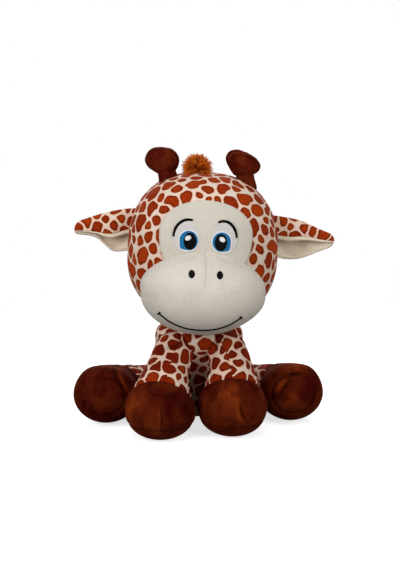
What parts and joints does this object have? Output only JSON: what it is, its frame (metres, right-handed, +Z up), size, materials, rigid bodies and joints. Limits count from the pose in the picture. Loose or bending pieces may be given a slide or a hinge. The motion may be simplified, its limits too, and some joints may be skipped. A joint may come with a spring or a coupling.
{
  "type": "plush giraffe",
  "caption": "Seated stuffed giraffe: large padded head with a wide muzzle, folded ears and ossicones, on a pear-shaped body with stuffed legs and hooves.",
  "frame": {"origin": "middle of the flat seat under the body, on the surface that it sits on", "axes": "+Z up, the face looks along -Y, +X is the giraffe's own left"},
  "size_m": [0.3742, 0.3269, 0.3986],
  "materials": {
    "print_plush": "short plush, rust spots on cream",
    "cream_plush": "short cream plush",
    "brown_plush": "velvety dark brown plush",
    "fur": "long orange-brown pile",
    "filling": "white fibre filling",
    "white_thread": "satin stitch",
    "blue_thread": "satin stitch",
    "black_thread": "satin stitch"
  },
  "bodies": {
    "torso": {"torso": "print_plush"},
    "neck": {"neck_filling": "filling"},
    "head": {"head": "print_plush", "face_patch": "cream_plush", "muzzle": "cream_plush", "hair_tuft": "fur", "mouth": "black_thread", "nostril_left": "black_thread", "nostril_right": "black_thread", "eye_white_left": "white_thread", "iris_left": "blue_thread", "pupil_left": "black_thread", "glint_left": "white_thread", "brow_left": "black_thread", "eye_white_right": "white_thread", "iris_right": "blue_thread", "pupil_right": "black_thread", "glint_right": "white_thread", "brow_right": "black_thread"},
    "ear_left": {"ear_outer_left": "print_plush", "ear_lining_left": "cream_plush"},
    "ear_right": {"ear_outer_right": "print_plush", "ear_lining_right": "cream_plush"},
    "ossicone_left": {"ossicone_stem_left": "brown_plush", "ossicone_knob_left": "brown_plush"},
    "ossicone_right": {"ossicone_stem_right": "brown_plush", "ossicone_knob_right": "brown_plush"},
    "foreleg_left": {"foreleg_left": "print_plush", "forehoof_left": "brown_plush", "forehoof_sole_left": "brown_plush"},
    "foreleg_right": {"foreleg_right": "print_plush", "forehoof_right": "brown_plush", "forehoof_sole_right": "brown_plush"},
    "hindleg_left": {"hindleg_left": "print_plush", "hindhoof_left": "brown_plush", "hindhoof_sole_left": "brown_plush"},
    "hindleg_right": {"hindleg_right": "print_plush", "hindhoof_right": "brown_plush", "hindhoof_sole_right": "brown_plush"},
    "tail": {"tail": "print_plush", "tail_tassel": "fur"}
  },
  "joints": [
    {"name": "neck_turn", "type": "hinge", "parent": "torso", "child": "neck", "pos_m": [0, -0.042, 0.16], "axis": [0, 0, 1], "range_deg": [-25, 25], "stiffness_Nm_per_rad": 1.5},
    {"name": "head_nod", "type": "hinge", "parent": "neck", "child": "head", "pos_m": [0, -0.042, 0.16], "axis": [0.998, 0.0349, -0.0523], "range_deg": [-6, 10], "stiffness_Nm_per_rad": 4},
    {"name": "ear_flap_left", "type": "hinge", "parent": "head", "child": "ear_left", "pos_m": [0.11218, -0.03829, 0.27128], "axis": [-0.0988, -0.0053, 0.9951], "range_deg": [-20, 20], "stiffness_Nm_per_rad": 0.02},
    {"name": "ear_flap_right", "type": "hinge", "parent": "head", "child": "ear_right", "pos_m": [-0.09993, -0.04571, 0.2824], "axis": [0.2023, 0.0053, 0.9793], "range_deg": [-20, 20], "stiffness_Nm_per_rad": 0.02},
    {"name": "ossicone_lean_left", "type": "hinge", "parent": "head", "child": "ossicone_left", "pos_m": [0.06645, -0.04003, 0.34905], "axis": [-0.0349, 0.9994, 0.0018], "range_deg": [-6, 6], "stiffness_Nm_per_rad": 0.05},
    {"name": "ossicone_lean_right", "type": "hinge", "parent": "head", "child": "ossicone_right", "pos_m": [-0.04633, -0.04397, 0.35496], "axis": [-0.0349, 0.9994, 0.0018], "range_deg": [-6, 6], "stiffness_Nm_per_rad": 0.05},
    {"name": "shoulder_left", "type": "hinge", "parent": "torso", "child": "foreleg_left", "pos_m": [0.04, -0.084, 0.113], "axis": [-1, 0, 0], "range_deg": [-4, 35], "stiffness_Nm_per_rad": 0.5},
    {"name": "shoulder_right", "type": "hinge", "parent": "torso", "child": "foreleg_right", "pos_m": [-0.036, -0.084, 0.113], "axis": [-1, 0, 0], "range_deg": [-4, 35], "stiffness_Nm_per_rad": 0.5},
    {"name": "hip_left", "type": "hinge", "parent": "torso", "child": "hindleg_left", "pos_m": [0.065, 0, 0.039], "axis": [0, 0, 1], "range_deg": [-2, 30], "stiffness_Nm_per_rad": 0.4},
    {"name": "hip_right", "type": "hinge", "parent": "torso", "child": "hindleg_right", "pos_m": [-0.065, 0, 0.039], "axis": [0, 0, -1], "range_deg": [-2, 30], "stiffness_Nm_per_rad": 0.4},
    {"name": "tail_swing", "type": "hinge", "parent": "torso", "child": "tail", "pos_m": [0, 0.057, 0.04], "axis": [0, 0, 1], "range_deg": [-25, 25], "stiffness_Nm_per_rad": 0.02}
  ]
}
